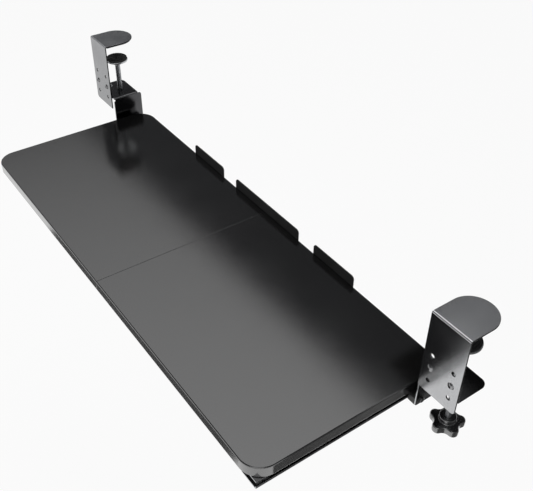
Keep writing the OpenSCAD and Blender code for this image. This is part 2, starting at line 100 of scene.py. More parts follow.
class TraySizes(bpy.types.PropertyGroup):
    """Sizes of the details that the frame leaves plain"""

    sheet_round: length("Sheet edge", "Round-over along the edges of bent sheet", 0.35)
    rail_round: length("Rail edge", "Round-over along the rails' edges", 0.245)
    board_round: length("Seam edge", "Round-over along the boards' edges at the seam", 0.35)
    moulded_round: length("Moulded edge", "Round-over along the edges of moulded pieces", 0.6)
    liner_round: length("Liner edge", "Round-over along the tongue liners' edges", 0.24)
    axle_round: length("Axle edge", "Round-over along the roller axles' ends", 0.36)
    screw_pitch: length("Screw pitch", "Pitch of the clamp screws' thread", 1.25, 0.0004)
    screw_depth: length("Screw thread", "Depth of the clamp screws' thread", 0.72)
    tip_radius: length("Screw tip", "Radius of the clamp screws' tips", 3.0)
    tip_length: length("Tip length", "Length of the clamp screws' tips", 5.0)
    bolt_radius: length("Bolt shank", "Radius of the bracket bolts' shanks", 2.5)
    bolt_pitch: length("Bolt pitch", "Pitch of the bracket bolts' threads", 0.8, 0.0004)
    bolt_head: length("Bolt head", "Height of the bracket bolts' heads", 2.5)
    bolt_key: length("Bolt key", "Width across the flats of the bolts' sockets", 3.0)
    bolt_key_depth: length("Bolt key depth", "Depth of the bolts' sockets", 1.7)
    bolt_bore: length("Nut bore", "Radius of the bracket nuts' bores", 2.55)
    screw_bore: length("Screw nut bore", "Radius of the welded nuts' bores", 4.0)
    nut_chamfer: length("Nut chamfer", "Height of the chamfer on the nuts' corners", 0.7)
    wood_head: length("Screw head", "Height of the wood screws' heads", 2.2)
    wood_shank: length("Screw shank", "Radius of the wood screws over their threads", 1.8)
    wood_pitch: length("Wood thread pitch", "Pitch of the wood screws' threads", 1.6, 0.0004)
    recess_span: length("Recess span", "Span of the cross recess in the screw heads", 4.0)
    recess_width: length("Recess width", "Width of the cross recess in the screw heads", 0.9)
    recess_depth: length("Recess depth", "Depth of the cross recess in the screw heads", 1.4)
    knob_round: length("Knob rounding", "Round-over along the star knobs' rims", 1.8)
    lobe_radius: length("Lobe radius", "Radius of the ends of the star knobs' lobes", 6.2)
    scallop_at: length("Scallop centres", "Distance of the scallops' centres from the axis", 22.5)
    knob_radius: length("Knob radius", "Radius of the star knobs over their lobes", 20.0)
    hub_radius: length("Hub radius", "Radius of the star knobs' hubs", 9.5)
    hub_height: length("Hub height", "Height of the hubs above the stars", 6.0)
    knob_lobes: IntProperty(
        name="Knob lobes", description="Number of lobes on a star knob", default=5, min=3
    )
    knob_turn: degrees("Knob turn", "Angle of the first lobe from the X axis", 54)
    socket_radius: length("Pad socket", "Radius of the pressure pads' sockets", 7.0)
    socket_height: length("Pad socket height", "Height of the pressure pads' sockets", 6.0)
    pad_bore: length("Pad bore", "Radius of the pads' bores for the screws' tips", 3.051)
    pad_bore_depth: length("Pad bore depth", "Depth of the pads' bores for the screws' tips", 5.3)
    rib_depth: length("Rib depth", "Depth of the grooves in the pads' rubber faces", 0.7)
    rib_step: length("Rib step", "Distance between the grooves in the pads' rubber faces", 3.2)


class TrayColours(bpy.types.PropertyGroup):
    """Colours of the finishes"""

    laminate: colour("Laminate", "Top and underside of the boards", 0.0024, 0.0023, 0.0022)
    edge_band: colour("Edge band", "Edges of the boards", 0.012, 0.012, 0.012)
    graphite: colour("Graphite", "Metallic paint of the clamp plates", 0.52, 0.525, 0.535)
    # Black paint of the side brackets, made darker partly as painted shade
    bracket_black_and_shade: colour("Black sheen", "Paint of the side brackets", 0.09, 0.09, 0.093)
    # Paint of the rails, made lighter partly as painted light on their lip
    rail_sheen: colour("Rail sheen", "Paint of the rails", 0.24, 0.24, 0.245)
    black_coat: colour("Black coat", "Matt coat of the rear stops", 0.028, 0.028, 0.028)
    # Colour of the painted shade on the clamp plates' side edges and hole walls
    painted_edge_shade: colour("Cut edge", "Cut edges and holes of the clamp plates", 0.012, 0.012, 0.012)
    zinc: colour("Zinc", "Plated nuts, screws and bars", 0.50, 0.51, 0.52)
    bolt_steel: colour("Bolt steel", "Bracket bolts and roller axles", 0.32, 0.32, 0.325)
    rubber: colour("Rubber", "Liners, pads' faces and stop plugs", 0.018, 0.018, 0.018)
    black_nylon: colour("Black nylon", "Guide blocks", 0.014, 0.014, 0.014)
    white_nylon: colour("White nylon", "Rollers", 0.72, 0.70, 0.65)
    knob: colour("Knob plastic", "Star knobs", 0.008, 0.008, 0.009)
    beech: colour("Beech", "Seam dowels", 0.55, 0.36, 0.19)


class TrayStage(bpy.types.PropertyGroup):
    """Camera, floor and light"""

    target: FloatVectorProperty(
        name="Target",
        description="Point that the camera looks at",
        default=(80.88 * MM, -3.89 * MM, -95.31 * MM),
        subtype="TRANSLATION",
    )
    distance: length("Distance", "Distance of the camera from its target", 987.91)
    azimuth: degrees("Azimuth", "Camera's turn from the front towards the right", 54.21)
    elevation: degrees("Elevation", "Camera's height above the tray", 38.88)
    roll: degrees("Roll", "Camera's turn round its own axis", 0.89)
    lens: FloatProperty(
        name="Lens", description="Focal length on a 36 mm sensor", default=53.144, min=1
    )
    floor_drop: length("Floor drop", "Depth of the floor below the origin", 720.0)
    floor_size: length("Floor size", "Side of the floor", 24000.0)
    floor_colour: colour("Floor", "Colour of the floor", 0.9, 0.9, 0.9)
    strip_light: amount("Strip light", "Brightness of the strip box, 1 for white", 1.0, high=10.0)
    fill_light: amount("Fill light", "Brightness of the fill box, 1 for white", 1.3, high=10.0)
    back_light: amount("Back light", "Brightness of the back box, 1 for white", 0.12, high=10.0)
    strip_spread: degrees("Strip spread", "Angle over which the strip box shines", 130)
    strip_turn: degrees("Strip turn", "Turn of the strip box round its own axis", 1.2)
    # Glowing cards that only reflections see: painted reflections, and painted shade where dark
    dark_card: amount("Dark cards", "Brightness of the dark cards", 0.09)
    right_card: amount("Right card", "Brightness of the right card's rear end", 0.22)
    left_card: amount("Left card", "Brightness of the left card", 0.62)
    upper_card: amount("Upper card", "Brightness of the card above the right knob", 0.02)
    horizon: colour("Horizon", "Light of the surroundings at the horizon", 0.95, 0.95, 0.95)
    overhead: colour("Overhead", "Light of the surroundings overhead", 0.10, 0.102, 0.107)


class Num:
    """A number in a node tree. Arithmetic on it adds Math nodes to the tree."""

    def __init__(self, tree, socket):
        self.tree = tree
        self.socket = socket

    def math(self, operation, *others):
        node = add(self.tree, "ShaderNodeMath", operation=operation)
        for slot, value in zip(node.inputs, (self, *others)):
            feed(self.tree, slot, value)
        return Num(self.tree, node.outputs[0])

    def __add__(self, other):
        return self.math("ADD", other)

    def __sub__(self, other):
        return self.math("SUBTRACT", other)

    def __rsub__(self, other):
        return self.math("MULTIPLY_ADD", -1.0, other)

    def __mul__(self, other):
        return self.math("MULTIPLY", other)

    def __truediv__(self, other):
        return self.math("DIVIDE", other)

    def within(self, low, high):
        """Position between two values, from 0 to 1, with soft ends."""
        sockets = {"Value": self, "From Min": low, "From Max": high}
        node = add(self.tree, "ShaderNodeMapRange", sockets, interpolation_type="SMOOTHSTEP")
        return Num(self.tree, node.outputs[0])


def feed(tree, socket, value):
    """Links a socket to a value of the tree, or sets it to a constant."""
    if isinstance(value, Num):
        value = value.socket
    if isinstance(value, bpy.types.NodeSocket):
        tree.links.new(value, socket)
    else:
        socket.default_value = value


def add(tree, kind, sockets=None, **settings):
    """Adds a node, with its settings and with a value or a link for each socket named."""
    node = tree.nodes.new(kind)
    for key, value in settings.items():
        setattr(node, key, value)
    for key, value in (sockets or {}).items():
        feed(tree, node.inputs[key], value)
    return node


def split(tree, vector):
    """The three numbers of a vector."""
    node = add(tree, "ShaderNodeSeparateXYZ", {0: vector})
    return [Num(tree, socket) for socket in node.outputs]


def gather(tree, x, y, z):
    """Vector of three numbers."""
    return add(tree, "ShaderNodeCombineXYZ", {"X": x, "Y": y, "Z": z}).outputs[0]


def open_interface(tree, inputs, outputs):
    """Gives a node group its named sockets, and returns its inputs as numbers."""
    kinds = {int: "NodeSocketInt", float: "NodeSocketFloat"}
    for label, default in inputs.items():
        socket = tree.interface.new_socket(label, in_out="INPUT", socket_type=kinds[type(default)])
        socket.default_value = default
    for label, kind in outputs.items():
        tree.interface.new_socket(label, in_out="OUTPUT", socket_type=kind)
    entry = tree.nodes.new("NodeGroupInput")
    return {label: Num(tree, entry.outputs[label]) for label in inputs}


def noise(tree, scale, detail, place=None):
    """Noise over the piece's own coordinates."""
    if place is None:
        place = add(tree, "ShaderNodeTexCoord").outputs["Object"]
    node = add(
        tree, "ShaderNodeTexNoise", {"Vector": place, "Scale": scale, "Detail": detail, "Roughness": 0.55}
    )
    return Num(tree, node.outputs["Fac"])


def mix_colour(tree, factor, first, second):
    """Colour between two others."""
    node = add(tree, "ShaderNodeMix", data_type="RGBA")
    for slot, value in zip((0, 6, 7), (factor, first, second)):
        feed(tree, node.inputs[slot], value)
    return node.outputs[2]


def edge_wear_group():
    """Mask of rubbed edges: where a rounded normal leaves the real one, broken up by noise."""
    tree = bpy.data.node_groups.new("Edge wear", "ShaderNodeTree")
    size = open_interface(
        tree, {"Reach": 0.001, "Amount": 0.5, "Patches": 60.0}, {"Mask": "NodeSocketFloat"}
    )
    rounded = add(tree, "ShaderNodeBevel", {"Radius": size["Reach"]}, samples=6)
    true_normal = add(tree, "ShaderNodeNewGeometry").outputs["Normal"]
    normals = {0: rounded.outputs[0], 1: true_normal}
    dot = add(tree, "ShaderNodeVectorMath", normals, operation="DOT_PRODUCT")
    edge = (1.0 - Num(tree, dot.outputs["Value"])).within(0.01, 0.16)
    patches = noise(tree, size["Patches"], 5.0).within(0.36, 0.62)
    add(tree, "NodeGroupOutput", {"Mask": edge * patches * size["Amount"]})
    return tree


def grain_group():
    """Fine texture of a coat or a moulded face, with slow drifts of tone."""
    tree = bpy.data.node_groups.new("Surface grain", "ShaderNodeTree")
    size = open_interface(
        tree,
        {"Grain": 900.0, "Drift": 9.0},
        {"Height": "NodeSocketFloat", "Fleck": "NodeSocketFloat", "Tone": "NodeSocketFloat"},
    )
    height = noise(tree, size["Grain"], 2.0)
    place = add(tree, "ShaderNodeTexCoord").outputs["Object"]
    cells = add(tree, "ShaderNodeTexVoronoi", {"Vector": place, "Scale": size["Grain"]})
    fleck, _, _ = split(tree, cells.outputs["Color"])
    tone = noise(tree, size["Drift"], 3.0).within(0.3, 0.7)
    add(tree, "NodeGroupOutput", {"Height": height, "Fleck": fleck, "Tone": tone})
    return tree


def smudge_group():
    """Roughness that wanders between two values, as handled surfaces do."""
    tree = bpy.data.node_groups.new("Smudges", "ShaderNodeTree")
    size = open_interface(
        tree, {"Smooth": 0.25, "Rough": 0.35, "Spread": 22.0}, {"Roughness": "NodeSocketFloat"}
    )
    cloud = noise(tree, size["Spread"], 4.0).within(0.3, 0.72)
    add(tree, "NodeGroupOutput", {"Roughness": size["Smooth"] + cloud * (size["Rough"] - size["Smooth"])})
    return tree


EFFECTS = {"Edge wear": edge_wear_group, "Surface grain": grain_group, "Smudges": smudge_group}


def effect(tree, name, **values):
    """Places a shared effect in a material, and returns its outputs as numbers."""
    group = bpy.data.node_groups.get(name) or EFFECTS[name]()
    node = add(tree, "ShaderNodeGroup", values, node_tree=group)
    return {socket.name: Num(tree, socket) for socket in node.outputs}


def new_finish(name, constants):
    """Material, its node tree and its Principled shader, which is given some constants."""
    material = bpy.data.materials.new(name)
    material.use_nodes = True
    tree = material.node_tree
    shader = tree.nodes["Principled BSDF"]
    for key, value in constants.items():
        shader.inputs[key].default_value = value
    return material, tree, shader


def rgba(rgb, gain=1.0):
    """Colour with its opacity, made lighter or darker."""
    return (*(channel * gain for channel in rgb), 1.0)


def shades(tree, share, rgb, low, high):
    """Colour that wanders between a darker and a lighter shade."""
    return mix_colour(tree, share, rgba(rgb, low), rgba(rgb, high))


def smudges(tree, smooth, rough, spread=22.0):
    """Roughness that wanders between two values. The spread is the number of clouds in a metre."""
    return effect(tree, "Smudges", Smooth=smooth, Rough=rough, Spread=spread)["Roughness"]


def paint(tree, shader, colour, roughness, height, depth):
    """Feeds the shader a colour, a roughness and a relief, whose depth is in metres."""
    feed(tree, shader.inputs["Base Color"], colour)
    feed(tree, shader.inputs["Roughness"], roughness)
    relief = add(tree, "ShaderNodeBump", {"Strength": 1.0, "Distance": depth, "Height": height})
    feed(tree, shader.inputs["Normal"], relief.outputs[0])


def facing(tree):
    """How far a face looks along each axis, in numbers from -1 to 1."""
    return split(tree, add(tree, "ShaderNodeNewGeometry").outputs["Normal"])


# How far a face looks along an axis, where a mask begins and where it is full
BOARD_FACE = (0.80, 0.97)
# Faces that look to the front turn bare and bright, partly as a painted highlight
FRONT_BARE_HIGHLIGHT = (0.7, 0.95)
SHEET_EDGE = (0.2, 0.6)
SHEET_FACE = (0.3, 0.7)
# Depth below the origin at which the clamp plates' fold has ended
FOLD_END = (10 * MM, 12 * MM)
# Refractive index of the knobs' polish
POLISH_IOR = 2.6


def board_finish(colours):
    """Dark laminate with a pebbled face, and glossy bands along the edges."""
    material, tree, shader = new_finish(
        "Board laminate",
        {"IOR": 1.6, "Specular IOR Level": 1.0, "Coat Roughness": 0.16, "Coat IOR": 1.8},
    )
    grain = effect(tree, "Surface grain", Grain=1500.0, Drift=7.0)
    _, _, up = facing(tree)
    face = up.math("ABSOLUTE").within(*BOARD_FACE)
    tone = grain["Tone"] * 0.6 + grain["Fleck"] * 0.4
    laminate = shades(tree, tone, colours.laminate, low=0.86, high=1.14)
    colour = mix_colour(tree, face, rgba(colours.edge_band), laminate)
    matt = smudges(tree, smooth=0.11, rough=0.14, spread=16.0)
    band = smudges(tree, smooth=0.16, rough=0.22, spread=40.0)
    paint(tree, shader, colour, band + face * (matt - band), grain["Height"] * face, 0.03 * MM)
    feed(tree, shader.inputs["Coat Weight"], 1.0 - face)
    return material


def black_paint_finish(name, rgb, bare_and_highlight_rgb):
    """Black metallic paint with a fine orange peel, rubbed along its edges. Faces that look to the front
    are bare, partly as cut ends and partly as a painted highlight.
    """
    material, tree, shader = new_finish(name, {"Metallic": 1.0})
    grain = effect(tree, "Surface grain", Grain=1300.0, Drift=14.0)
    wear = effect(tree, "Edge wear", Reach=0.5 * MM, Amount=0.2, Patches=90.0)["Mask"]
    tone = grain["Tone"] * 0.5 + grain["Fleck"] * 0.5
    coat = shades(tree, tone, rgb, low=0.85, high=1.15)
    rubbed = mix_colour(tree, wear, coat, rgba(rgb, 4.0))
    _, back, _ = facing(tree)
    # Painted highlight, partly real bare cut ends: faces that look to the front get the bright bare
    # colour
    front = (0.0 - back).within(*FRONT_BARE_HIGHLIGHT)
    colour = mix_colour(tree, front, rubbed, rgba(bare_and_highlight_rgb))
    paint(tree, shader, colour, smudges(tree, smooth=0.16, rough=0.22), grain["Height"], 0.02 * MM)
    return material


def graphite_finish(colours):
    """Metallic grey paint with fine flakes, with painted shade on the side edges and in the holes."""
    material, tree, shader = new_finish("Graphite paint", {"Metallic": 1.0})
    grain = effect(tree, "Surface grain", Grain=2600.0, Drift=18.0)
    wear = effect(tree, "Edge wear", Reach=0.5 * MM, Amount=0.04, Patches=70.0)["Mask"]
    tone = grain["Fleck"] * 0.7 + grain["Tone"] * 0.3
    flakes = shades(tree, tone, colours.graphite, low=0.80, high=1.20)
    rubbed = mix_colour(tree, wear, flakes, rgba(colours.zinc))
    across, back, _ = facing(tree)
    _, _, height = split(tree, add(tree, "ShaderNodeTexCoord").outputs["Object"])
    below_fold = (0.0 - height).within(*FOLD_END)
    # Painted shade: the hole walls below the fold and the plates' side edges are darkened
    hole_wall = below_fold * (1.0 - back.math("ABSOLUTE").within(*SHEET_FACE))
    painted_edge_shade = across.math("ABSOLUTE").within(*SHEET_EDGE).math("MAXIMUM", hole_wall)
    colour = mix_colour(tree, painted_edge_shade, rubbed, rgba(colours.painted_edge_shade))
    paint(tree, shader, colour, smudges(tree, smooth=0.18, rough=0.23), grain["Height"], 0.012 * MM)
    return material


def steel_finish(name, rgb, smooth, rough):
    """Bare or plated steel with faint stains."""
    material, tree, shader = new_finish(name, {"Metallic": 1.0})
    grain = effect(tree, "Surface grain", Grain=700.0, Drift=120.0)
    colour = shades(tree, grain["Tone"], rgb, low=0.84, high=1.06)
    paint(tree, shader, colour, smudges(tree, smooth, rough, spread=150.0), grain["Height"], 0.006 * MM)
    return material


def moulded_finish(name, rgb, smooth, rough, texture, depth, gloss=0.0):
    """Moulded plastic or rubber with an eroded tool's texture, polished or not."""
    material, tree, shader = new_finish(
        name, {"Coat Weight": gloss, "Coat Roughness": smooth, "Coat IOR": POLISH_IOR}
    )
    grain = effect(tree, "Surface grain", Grain=texture, Drift=30.0)
    colour = shades(tree, grain["Tone"], rgb, low=0.85, high=1.15)
    paint(tree, shader, colour, smudges(tree, smooth, rough), grain["Height"], depth)
    return material


def beech_finish(colours):
    """Turned beech with its short dark flecks along the dowel."""
    material, tree, shader = new_finish("Beech", {})
    place = add(tree, "ShaderNodeTexCoord").outputs["Object"]
    along = add(tree, "ShaderNodeMapping", {"Vector": place, "Scale": (0.12, 1.0, 1.0)}).outputs[0]
    fibre = noise(tree, 1800.0, 3.0, along).within(0.35, 0.65)
    colour = shades(tree, fibre, colours.beech, low=0.7, high=1.0)
    paint(tree, shader, colour, 0.6, fibre, 0.05 * MM)
    return material


# What makes each finish. Steel has its colour and its least and greatest roughness. A moulded finish
# also has the number of its grains in a metre, their depth and, where it is polished, its gloss.
FINISHES = {
    "board_laminate": board_finish,
    "graphite_paint": graphite_finish,
    # One black paint: the brackets' copy darkened as painted shade, the rails' copy lightened as painted
    # light
    "bracket_paint": lambda c: black_paint_finish("Bracket paint", c.bracket_black_and_shade, c.zinc),
    "rail_paint": lambda c: black_paint_finish("Rail paint", c.rail_sheen, c.zinc),
    "stop_paint": lambda c: moulded_finish("Stop paint", c.black_coat, 0.42, 0.52, 1300.0, 0.02 * MM),
    "zinc_steel": lambda c: steel_finish("Zinc steel", c.zinc, 0.24, 0.36),
    "blackened_steel": lambda c: steel_finish("Blackened steel", c.bolt_steel, 0.20, 0.28),
    "black_rubber": lambda c: moulded_finish("Black rubber", c.rubber, 0.62, 0.78, 900.0, 0.05 * MM),
    "black_nylon": lambda c: moulded_finish("Black nylon", c.black_nylon, 0.38, 0.50, 1400.0, 0.03 * MM),
    "white_nylon": lambda c: moulded_finish("White nylon", c.white_nylon, 0.36, 0.46, 1100.0, 0.02 * MM),
    "knob_plastic": lambda c: moulded_finish("Knob plastic", c.knob, 0.24, 0.30, 1500.0, 0.012 * MM, 1.0),
    "beech": beech_finish,
}
finished = {}


def finish(slot):
    """Material of a slot, made when it is first asked for."""
    if slot not in finished:
        finished[slot] = FINISHES[slot](bpy.context.scene.tray_colours)
    return finished[slot]


def joined(node):
    """Copy of a CAD node's mesh, its loose triangles joined, for editing."""
    source = frame["nodes"][node].data
    mesh = bpy.data.meshes.new(f"{node}_piece")
    mesh.from_pydata([v.co for v in source.vertices], [], [f.vertices for f in source.polygons])
    editing = bmesh.new()
    editing.from_mesh(mesh)
    bmesh.ops.remove_doubles(editing, verts=editing.verts, dist=WELD)
    return mesh, editing


def solid_boxes(node):
    """Corners of each separate solid in a CAD node."""
    mesh, editing = joined(node)
    waiting = set(editing.verts)
    boxes = []
    while waiting:
        reached = [waiting.pop()]
        for vert in reached:
            for edge in vert.link_edges:
                other = edge.other_vert(vert)
                if other in waiting:
                    waiting.discard(other)
                    reached.append(other)
        axes = [[vert.co[axis] for vert in reached] for axis in range(3)]
        boxes.append((Vector(map(min, axes)), Vector(map(max, axes))))
    editing.free()
    bpy.data.meshes.remove(mesh)
    return sorted(boxes, key=lambda box: tuple(box[0]))


def new_object(name, mesh):
    """Links a mesh into the scene at the origin."""
    obj = bpy.data.objects.new(name, mesh)
    bpy.context.scene.collection.objects.link(obj)
    return obj


def settle(obj):
    """Makes an object's modifiers real, in one plain mesh."""
    graph = bpy.context.evaluated_depsgraph_get()
    mesh = bpy.data.meshes.new_from_object(obj.evaluated_get(graph))
    obj.modifiers.clear()
    old = obj.data
    obj.data = mesh
    bpy.data.meshes.remove(old)
    mesh.name = obj.name
    if not mesh.polygons:
        raise RuntimeError(f"{obj.name} has no faces")


def seat(obj, slot, node, look=None):
    """Gives a piece its finish and puts it in the place of its CAD node."""
    obj.data.materials.clear()
    obj.data.materials.append(finish(look or slot))
    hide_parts(node)
    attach(obj, BODY_OF[node])


def dress(node, slot, width, segments=3, look=None):
    """Copy of a CAD node with its sharp edges rounded, in the node's place."""
    mesh, editing = joined(node)
    bmesh.ops.dissolve_limit(
        editing, angle_limit=FLAT_ANGLE, verts=editing.verts, edges=editing.edges
    )
    editing.to_mesh(mesh)
    editing.free()
    mesh.shade_smooth()
    obj = new_object(f"{node}_piece", mesh)
    rounding = obj.modifiers.new("Rounded edges", "BEVEL")
    rounding.width = width
    rounding.segments = segments
    rounding.limit_method = "ANGLE"
    rounding.angle_limit = SHARP_ANGLE
    rounding.use_clamp_overlap = False
    flat = obj.modifiers.new("Flat faces", "WEIGHTED_NORMAL")
    flat.keep_sharp = True
    settle(obj)
    seat(obj, slot, node, look)
    return obj


def new_tree(name, *labels):
    """Geometry node tree, ready to be filled, with its inputs as numbers.

    An input that has the name of a size starts at that size. The others are set for each piece.
    """
    sizes = bpy.context.scene.tray_sizes
    inputs = {label: getattr(sizes, label.lower().replace(" ", "_"), 1.0 * MM) for label in labels}
    tree = bpy.data.node_groups.new(name, "GeometryNodeTree")
    tree.interface.new_socket("Places", in_out="INPUT", socket_type="NodeSocketGeometry")
    tree.interface.new_socket("Material", in_out="INPUT", socket_type="NodeSocketMaterial")
    return tree, open_interface(tree, inputs, {"Geometry": "NodeSocketGeometry"})


def close_tree(tree, shape, turn=(0.0, 0.0, 0.0)):
    """Sets a shape on every place that the tree is given, and ends the tree."""
    entry = tree.nodes.new("NodeGroupInput")
    copies = add(
        tree,
        "GeometryNodeInstanceOnPoints",
        {"Points": entry.outputs["Places"], "Instance": shape, "Rotation": turn},
    )
    real = add(tree, "GeometryNodeRealizeInstances", {"Geometry": copies.outputs[0]})
    coated = add(
        tree,
        "GeometryNodeSetMaterial",
        {"Geometry": real.outputs[0], "Material": entry.outputs["Material"]},
    )
    add(tree, "NodeGroupOutput", {"Geometry": coated.outputs[0]})
    return tree


def grow(node, tree, slot, measures, places=None):
    """Runs a tree in a CAD node's place, or on a list of places, and seats the plain mesh it makes."""
    mesh = bpy.data.meshes.new(f"{node}_piece")
    mesh.from_pydata(places or [middle(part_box(node))], [], [])
    obj = new_object(f"{node}_piece", mesh)
    modifier = obj.modifiers.new("Shape", "NODES")
    modifier.node_group = tree
    values = {**measures, "Material": finish(slot)}
    for item in tree.interface.items_tree:
        if item.in_out == "INPUT" and item.name in values:
            modifier[item.identifier] = values.pop(item.name)
    if values:
        raise RuntimeError(f"{tree.name} has no input named {sorted(values)}")
    settle(obj)
    obj.data.shade_smooth()
    obj.data.set_sharp_from_angle(angle=SHARP_ANGLE)
    seat(obj, slot, node)


def pick(tree, row, values):
    """Number that belongs to a row."""
    node = add(tree, "GeometryNodeIndexSwitch", data_type="FLOAT")
    while len(node.index_switch_items) < len(values):
        node.index_switch_items.new()
    for slot, value in zip(node.inputs, (row, *values)):
        feed(tree, slot, value)
    return Num(tree, node.outputs[0])


def wrapped_grid(tree, segments, rows):
    """Grid to be wrapped round Z: its mesh, each point's share of a turn and its row."""
    grid = add(
        tree,
        "GeometryNodeMeshGrid",
        {"Size X": 1.0, "Size Y": 1.0, "Vertices X": segments + 1, "Vertices Y": rows},
    )
    x, y, _ = split(tree, add(tree, "GeometryNodeInputPosition").outputs[0])
    return grid.outputs["Mesh"], x + 0.5, ((y + 0.5) * (rows - 1)).math("ROUND")


def wrap(tree, grid, turn, radius, height):
    """Wraps a grid round Z and joins its seam."""
    angle = turn * math.tau
    spot = gather(tree, radius * angle.math("COSINE"), radius * angle.math("SINE"), height)
    bent = add(tree, "GeometryNodeSetPosition", {"Geometry": grid, "Position": spot})
    return weld(tree, bent.outputs[0])


def join(tree, *shapes):
    """Shapes side by side in one."""
    node = add(tree, "GeometryNodeJoinGeometry")
    for shape in shapes:
        tree.links.new(shape, node.inputs[0])
    return node.outputs[0]


def weld(tree, *shapes):
    """Shapes in one, joined where their points meet."""
    sockets = {"Geometry": join(tree, *shapes), "Distance": WELD}
    return add(tree, "GeometryNodeMergeByDistance", sockets).outputs[0]


def turned(tree, rows, segments=32):
    """Surface turned round Z through rows of radius and height, from the bottom up."""
    grid, turn, row = wrapped_grid(tree, segments, len(rows))
    radius = pick(tree, row, [radius for radius, _ in rows])
    height = pick(tree, row, [height for _, height in rows])
    return wrap(tree, grid, turn, radius, height)


# Rows of points in one pitch of a thread: two at its root and two at its crest
THREAD_ROWS = 4


def thread(tree, crest, root, pitch, start, end, segments=32):
    """Right-hand thread round Z, which runs out at both ends."""
    turns = (end - start) / pitch
    rows = ((turns + 1.0) * THREAD_ROWS).math("CEIL") + 1.0
    grid, turn, row = wrapped_grid(tree, segments, rows)
    height = (row / THREAD_ROWS + turn - 1.0) * pitch + start
    height = height.math("MAXIMUM", start).math("MINIMUM", end)
    tooth = ((row / THREAD_ROWS).math("FRACT") * 2.0 + 0.01).math("FLOOR")
    run_out = ((height - start) / pitch).math("MINIMUM", (end - height) / pitch).math("MINIMUM", 1.0)
    return wrap(tree, grid, turn, root + (crest - root) * tooth * run_out, height)


def cut(tree, shape, *tools):
    """Shape less the tools."""
    node = add(tree, "GeometryNodeMeshBoolean", {"Mesh 1": shape}, operation="DIFFERENCE")
    for tool in tools:
        tree.links.new(tool, node.inputs["Mesh 2"])
    return node.outputs["Mesh"]


def moved(tree, shape, x=0.0, y=0.0, z=0.0):
    """Shape shifted by a distance along each axis."""
    place = gather(tree, x, y, z)
    return add(tree, "GeometryNodeTransform", {"Geometry": shape, "Translation": place}).outputs[0]


def prism(tree, radius, height, sides):
    """Upright prism about the origin."""
    node = add(
        tree, "GeometryNodeMeshCylinder", {"Vertices": sides, "Radius": radius, "Depth": height}
    )
    return node.outputs["Mesh"]


def block(tree, x, y, z):
    """Box about the origin."""
    return add(tree, "GeometryNodeMeshCube", {"Size": gather(tree, x, y, z)}).outputs["Mesh"]


# Wood screw: radius of its thread's root and length of its point, in radii over its thread
WOOD_ROOT = 0.7
WOOD_POINT = 1.3
# Outline of its pan head from the top to the shoulder, in shares of the head's radius and height
PAN_HEAD = ((0.5, 0.98), (0.76, 0.84), (0.92, 0.58), (1.0, 0.22), (0.98, 0.0))


def wood_screw_tree():
    """Wood screw that points up, with a pan head below and a cross recess in it."""
    tree, size = new_tree(
        "Wood screw", "Head radius", "Shank length", "Wood head", "Wood shank", "Wood pitch",
        "Recess span", "Recess width", "Recess depth",
    )
    wide, tall, shank = size["Head radius"], size["Wood head"], size["Wood shank"]
    root, end = shank * WOOD_ROOT, size["Shank length"]
    point = end - shank * WOOD_POINT
    pan = [(wide * out, tall * -up) for out, up in PAN_HEAD]
    head = turned(tree, [(0.0, tall * -1.0), *pan, (root, 0.0), (0.0, 0.0)])
    long, narrow, deep = size["Recess span"], size["Recess width"], size["Recess depth"] * 2.0
    bars = [
        moved(tree, block(tree, x, y, deep), z=tall * -1.0) for x, y in ((long, narrow), (narrow, long))
    ]
    helix = thread(tree, shank, root, size["Wood pitch"], 0.0, point, segments=16)
    tip = turned(tree, [(root, point), (0.0, end)], segments=16)
    base = turned(tree, [(0.0, 0.0), (root, 0.0)], segments=16)
    return close_tree(tree, join(tree, cut(tree, head, *bars), weld(tree, base, helix, tip)))


# Bolt: radius of its thread's root in radii of its shank, and the share of the shank without a thread
BOLT_ROOT = 0.86
BOLT_PLAIN = 0.25
# Points along its domed head, in shares of the head's radius
DOME = (0.985, 0.9, 0.75, 0.55, 0.3)


def bolt_tree():
    """Bolt with a domed head above and a hexagon socket in it."""
    tree, size = new_tree(
        "Bracket bolt", "Head radius", "Shank length", "Bolt head", "Bolt radius", "Bolt pitch",
        "Bolt key", "Bolt key depth",
    )
    wide, tall, shank = size["Head radius"], size["Bolt head"], size["Bolt radius"]
    foot, root = size["Shank length"] * -1.0, shank * BOLT_ROOT
    plain = foot * BOLT_PLAIN
    dome = [(wide * share, tall * (1.0 - share * share)) for share in DOME]
    outline = [(0.0, plain), (shank, plain), (shank, 0.0), (wide, 0.0), *dome, (0.0, tall)]
    head = turned(tree, outline, segments=40)
    hexagon = prism(tree, size["Bolt key"] / math.sqrt(3), size["Bolt key depth"] * 2.0, sides=6)
    key = moved(tree, hexagon, z=tall)
    helix = thread(tree, shank, root, size["Bolt pitch"], foot, plain, segments=24)
    lower = turned(tree, [(0.0, foot), (root, foot)], segments=24)
    upper = turned(tree, [(root, plain), (0.0, plain)], segments=24)
    shape = join(tree, cut(tree, head, key), weld(tree, helix, lower, upper))
    return close_tree(tree, shape, (math.pi / 2, 0.0, 0.0))


def nut_tree(name, turn):
    """Hexagon nut that stands on its place, with chamfered corners and a bore."""
    tree, size = new_tree(name, "Flats", "Height", "Bore", "Nut chamfer")
    inner, tall, chamfer = size["Flats"] * 0.5, size["Height"], size["Nut chamfer"]
    corner = inner * (2.0 / math.sqrt(3))
    # A little past the corners, so that the crown cuts nothing but their ends
    past = corner * 1.02
    outline = [
        (0.0, 0.0), (inner, 0.0), (past, chamfer), (past, tall - chamfer), (inner, tall), (0.0, tall)
    ]
    crown = turned(tree, outline, segments=48)
    hexagon = moved(tree, prism(tree, corner, tall * 1.2, sides=6), z=tall * 0.5)
    whole = add(tree, "GeometryNodeMeshBoolean", {"Mesh 2": crown}, operation="INTERSECT")
    tree.links.new(hexagon, whole.inputs["Mesh 2"])
    bore = moved(tree, prism(tree, size["Bore"], tall * 2.0, sides=32), z=tall * 0.5)
    return close_tree(tree, cut(tree, whole.outputs["Mesh"], bore), turn)


